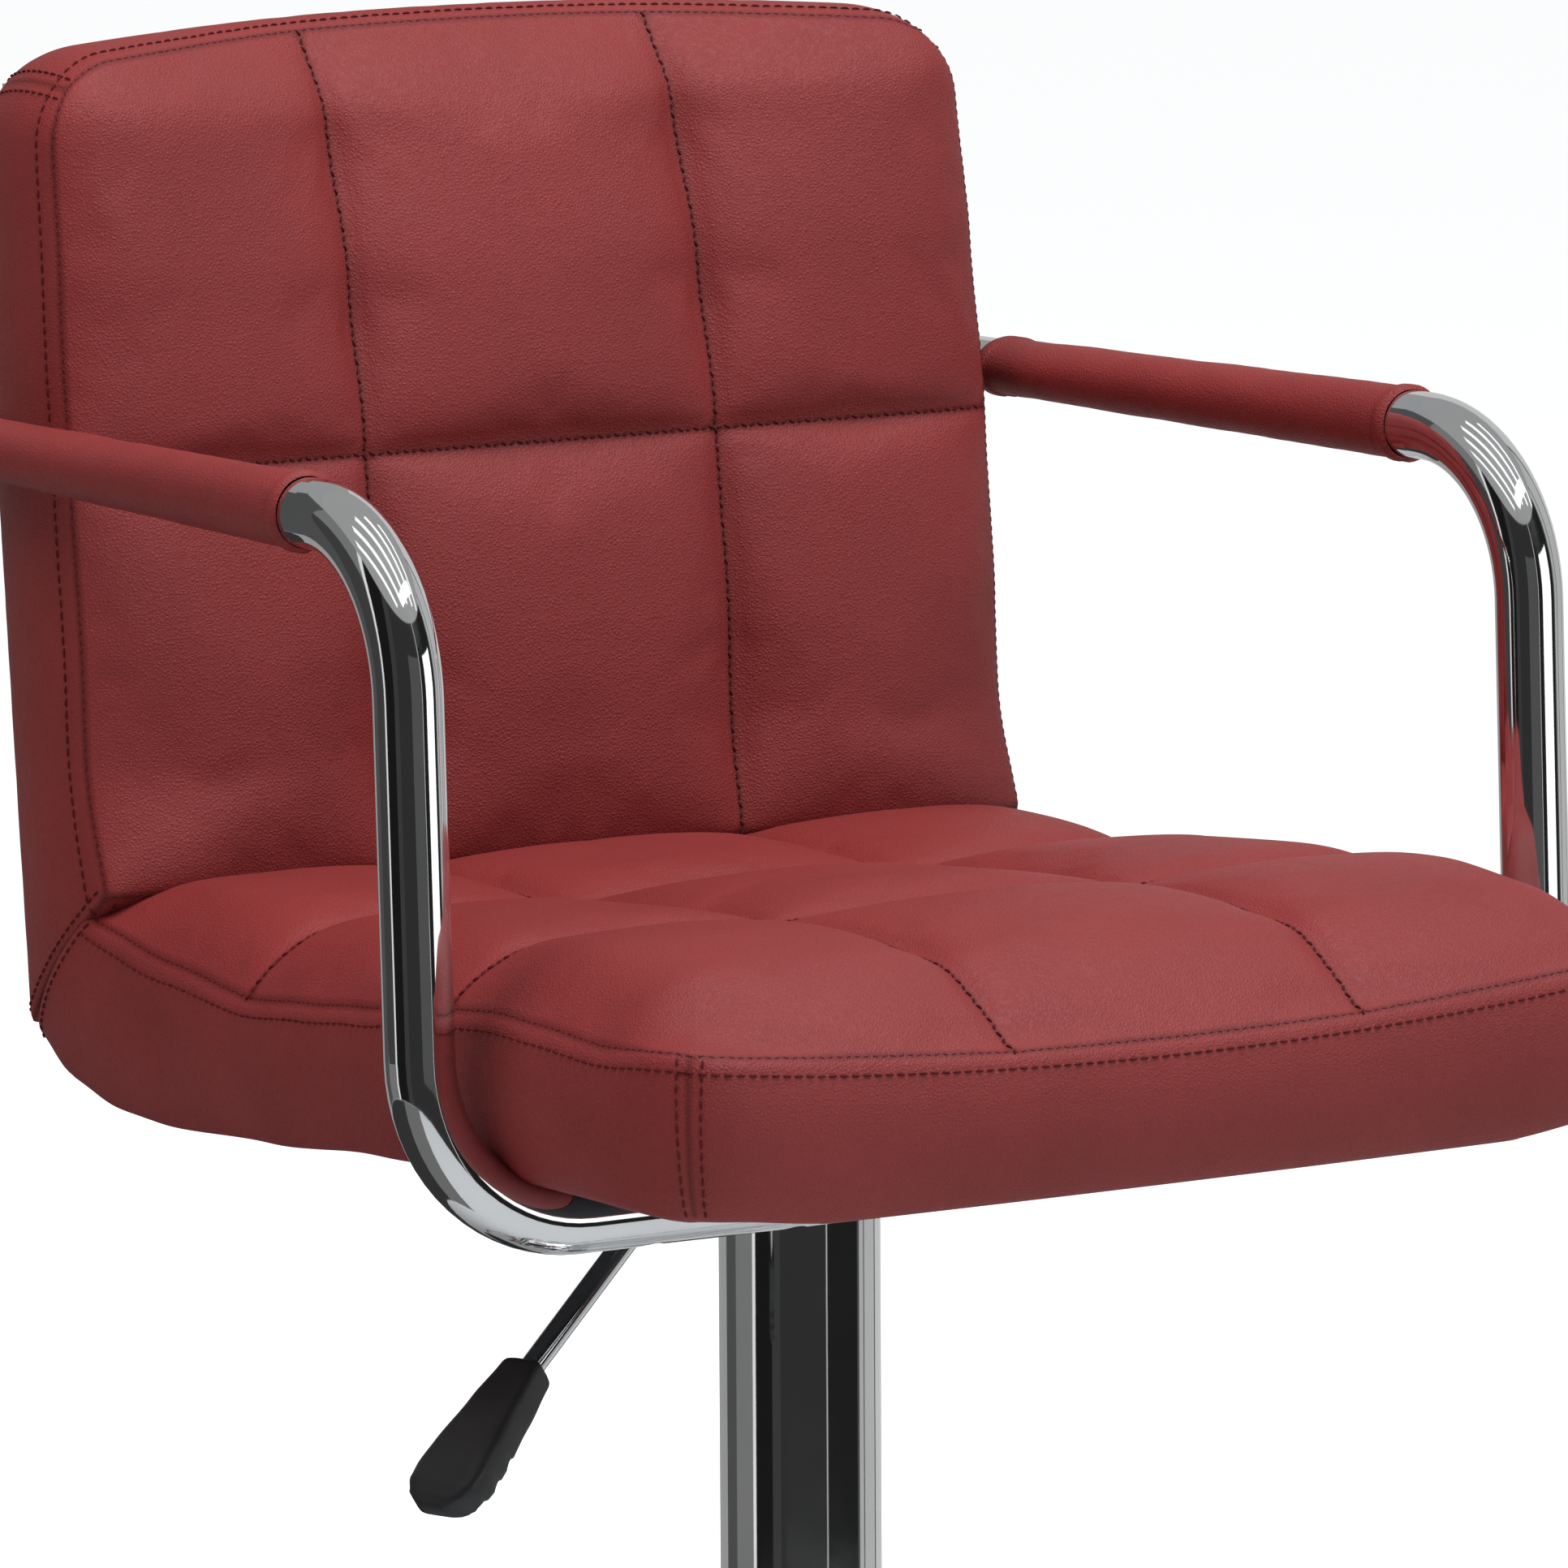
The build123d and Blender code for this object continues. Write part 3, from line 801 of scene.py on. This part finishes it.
def wood():
    mat, tree, shader, coord = new_material("plywood_bare")
    ply = noise_tex(tree, coord, 30, 6, 0.6, (1, 12, 40))
    paint(tree, shader, ply, (0.36, 0.22, 0.11), (0.58, 0.41, 0.24))
    shader.inputs["Roughness"].default_value = 0.6
    bump(tree, shader, ply, 0.2, 0.0005)
    return mat


def dust_cloth():
    mat, tree, shader, coord = new_material("dust_cloth")
    wave = node(tree, "ShaderNodeTexWave")
    wave.inputs["Scale"].default_value = 400
    tree.links.new(coord, wave.inputs["Vector"])
    weave = ramp(tree, wave.outputs["Fac"], (0.008, 0.008, 0.009), (0.02, 0.02, 0.022), 0.2, 0.8)
    tree.links.new(weave, shader.inputs["Base Color"])
    shader.inputs["Roughness"].default_value = 0.9
    bump(tree, shader, wave.outputs["Fac"], 0.3, 0.0003)
    return mat


def thread_dark():
    mat, tree, shader, coord = new_material("thread_burgundy")
    paint(tree, shader, noise_tex(tree, coord, 500, 2), (0.055, 0.004, 0.005), (0.105, 0.009, 0.010))
    shader.inputs["Roughness"].default_value = 0.75
    shader.inputs["Specular IOR Level"].default_value = 0.15
    bump(tree, shader, noise_tex(tree, coord, 2500, 2), 0.3, 0.0002)
    return mat


MATERIALS = {
    "chrome": chrome(),
    "rubber_black": plastic("rubber_black", (0.018, 0.018, 0.019), (0.03, 0.03, 0.03), 0.6),
    "cast_iron": metal("cast_iron", (0.05, 0.05, 0.055), (0.1, 0.1, 0.1), 0.55, 0.6, 400),
    "steel_zinc": metal("steel_zinc", (0.5, 0.5, 0.48), (0.66, 0.66, 0.64), 0.25, 1.0, 300),
    "steel_black": metal("steel_black", (0.015, 0.015, 0.017), (0.03, 0.03, 0.032), 0.4, 0.0, 500),
    "plastic_black": plastic("plastic_black", (0.012, 0.012, 0.013), (0.022, 0.022, 0.023), 0.36),
    "plastic_white": plastic("plastic_white", (0.6, 0.6, 0.57), (0.74, 0.74, 0.7), 0.4),
    "vinyl_burgundy": vinyl(),
    "plywood": wood(),
    "dust_cloth": dust_cloth(),
}
THREAD = thread_dark()


def dress(obj, mat):
    if not obj.material_slots:
        obj.data.materials.append(mat)
    for slot in obj.material_slots:
        slot.material = mat


SLOT_OF = {s["node"]: s["material_slot"] for s in frame["record"]["subparts"]}
for name, obj in frame["nodes"].items():
    dress(obj, MATERIALS[SLOT_OF[name]])


# ---------------------------------------------------------------- pieces in place

def soften(obj):
    mod = obj.modifiers.new("smooth", "SUBSURF")
    mod.levels = 1
    mod.render_levels = 1


def place(obj, body, material, *nodes, slot=None):
    dress(obj, material)
    if nodes:
        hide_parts(*nodes)
    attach(obj, body)


seat_pad, seat_obj = make_seat()
soften(seat_obj)
seat_thread = sew(seat_pad, seat_obj, "seat_stitches")
place(seat_obj, "seat", MATERIALS["vinyl_burgundy"], "seat_cushion")
place(seat_thread, "seat", THREAD)

back_pad, back_obj = make_back()
soften(back_obj)
back_thread = sew(back_pad, back_obj, "back_stitches")
place(back_obj, "seat", MATERIALS["vinyl_burgundy"], "back_cushion")
place(back_thread, "seat", THREAD)

for side, name in ((1, "left"), (-1, "right")):
    wrap = make_wrap(side, "arm_wrap_" + name)
    place(wrap, "seat", MATERIALS["vinyl_burgundy"], "arm_pad_" + name)


grip = make_handle()
place(grip, "lever", MATERIALS["plastic_black"], "lever_handle", slot="plastic_black")


# ---------------------------------------------------------------- floor and light

CARD_FLOOR = 0.004
FLOOR_SIZE = 80
FLOOR_COLOUR, FLOOR_COLOUR_MIRRORED = 0.88, 0.48
FLOOR_GLOW = 0.68
SKY_LIGHT, SKY_SEEN = 0.34, 1.1
VIEW = Vector((-0.5455, -0.8381, 0.0))
ACROSS = Vector((0.8381, -0.5455, 0.0))


def square(width, depth):
    w, d = width / 2, depth / 2
    return [(-w, -d, 0), (w, -d, 0), (w, d, 0), (-w, d, 0)], [(0, 1, 2, 3)]


def card(name, verts, faces, level):
    """A surface that only reflections see, and see as one even brightness."""
    obj = new_object(name, verts, faces)
    mat, tree, shader, coord = new_material(name)
    shader.inputs["Base Color"].default_value = (0, 0, 0, 1)
    shader.inputs["Specular IOR Level"].default_value = 0.0
    shader.inputs["Emission Color"].default_value = (1, 1, 1, 1)
    shader.inputs["Emission Strength"].default_value = level
    dress(obj, mat)
    obj.visible_camera = False
    obj.visible_diffuse = False
    obj.visible_shadow = False
    obj.visible_transmission = False
    return obj


def directions(start, end, steps):
    """Directions round the stool. Angles from the picture's view, in degrees, positive to its right."""
    for k in range(steps + 1):
        angle = math.radians(start + (end - start) * k / steps)
        yield VIEW * math.cos(angle) + ACROSS * math.sin(angle)


def strip_faces(verts):
    """Faces of a strip whose points come in pairs."""
    return [(k, k + 2, k + 3, k + 1) for k in range(0, len(verts) - 2, 2)]


def arc_card(name, start, end, level, low=-0.02, high=1.9, radius=1.6):
    """A curved upright card."""
    verts = []
    for out in directions(start, end, 8):
        spot = out * radius
        verts += [(spot.x, spot.y, low), (spot.x, spot.y, high)]
    card(name, verts, strip_faces(verts), level)


def floor_card(name, start, end, level, near=0.42, far=1.58):
    """A ring sector just above the floor."""
    verts = []
    for out in directions(start, end, 10):
        verts += [(out.x * reach, out.y * reach, CARD_FLOOR) for reach in (far, near)]
    card(name, verts, strip_faces(verts), level)


def slat(name, centre, size, turn, level):
    """A flat strip overhead."""
    obj = card(name, *square(*size), level)
    obj.matrix_world = Matrix.Translation(centre) @ Matrix.Rotation(turn, 4, "Z")


def area_light(name, size, location, target, power):
    light = bpy.data.lights.new(name, "AREA")
    light.shape = "RECTANGLE"
    light.size, light.size_y = size
    light.energy = power
    light.color = (0.95, 0.975, 1.0)
    obj = bpy.data.objects.new(name, light)
    bpy.context.collection.objects.link(obj)
    aim = (Vector(target) - Vector(location)).normalized()
    obj.matrix_world = Matrix.Translation(location) @ (-aim).to_track_quat("Z", "Y").to_matrix().to_4x4()
    return obj


def by_ray(tree, kind, otherwise, value):
    """One value for rays of a kind, another for the rest."""
    rays = node(tree, "ShaderNodeLightPath")
    return spread(tree, rays.outputs[kind], otherwise, value)


def make_floor():
    """Lifted to white for the camera, and darker where the chrome mirrors it."""
    obj = new_object("floor", *square(FLOOR_SIZE, FLOOR_SIZE))
    mat, tree, shader, coord = new_material("floor")
    shader.inputs["Roughness"].default_value = 0.9
    shader.inputs["Specular IOR Level"].default_value = 0.0
    shader.inputs["Emission Color"].default_value = (1, 1, 1, 1)
    tree.links.new(by_ray(tree, "Is Camera Ray", 0.0, FLOOR_GLOW), shader.inputs["Emission Strength"])
    mirrored = by_ray(tree, "Is Glossy Ray", FLOOR_COLOUR, FLOOR_COLOUR_MIRRORED)
    tree.links.new(mirrored, shader.inputs["Base Color"])
    dress(obj, mat)


def make_world():
    world = bpy.data.worlds.new("studio")
    world.use_nodes = True
    sky = world.node_tree.nodes["Background"]
    sky.inputs["Color"].default_value = (0.94, 0.98, 1.0, 1)
    strength = by_ray(world.node_tree, "Is Camera Ray", SKY_LIGHT, SKY_SEEN)
    world.node_tree.links.new(strength, sky.inputs["Strength"])
    bpy.context.scene.world = world


make_floor()
make_world()
bpy.context.scene.view_settings.view_transform = "Standard"

area_light("top", (1.8, 1.8), (0.3, -0.8, 3.0), (0, 0, 0.6), 80)
area_light("front", (1.4, 1.4), (1.1, -3.2, 3.0), (0, 0, 0.7), 30)
side = area_light("side", (1.2, 1.6), (-1.9, 0.2, 2.9), (-0.1, 0.1, 0.8), 32)
side.visible_glossy = False

# start and end angle, and brightness, of the cards all round the stool
CARDS = [(-128, -103, 0.08), (-103, -71, 0.19), (-71, -66, 0.8), (-66, -40, 0.010), (-40, -28, 0.045),
         (-28, 37.4, 0.030), (37.4, 39.2, 0.5), (39.2, 89, 0.014), (89, 93, 0.07), (102, 104, 0.05),
         (93, 102, 0.45), (104, 131, 0.48), (131, 134, 0.05), (134, 180, 0.58), (-180, -128, 0.33)]
for k, (start, end, level) in enumerate(CARDS):
    arc_card(f"card_{k}", start, end, level)
# cards inside the others, from 0.34 to 1.25 m up, for the arms
INNER = (0.34, 1.25, 1.55)
arc_card("card_tall", 52, 80, 1.35, *INNER)
arc_card("card_arm_left", -103, -72, 0.05, *INNER)
arc_card("card_arm_mid", 6, 36, 0.085, *INNER)
floor_card("floor_card_dark", -165, -58, 0.035)
floor_card("floor_card_grey", -58, -20, 0.16)
for k in range(5):
    slat(f"slat_{k}", (-1.30 + 0.65 * k, -0.6, 2.5), (0.20, 2.2), 0.35, 1.25)
slat("slat_wide", (0, -0.6, 2.8), (5, 5), 0.0, 0.34)
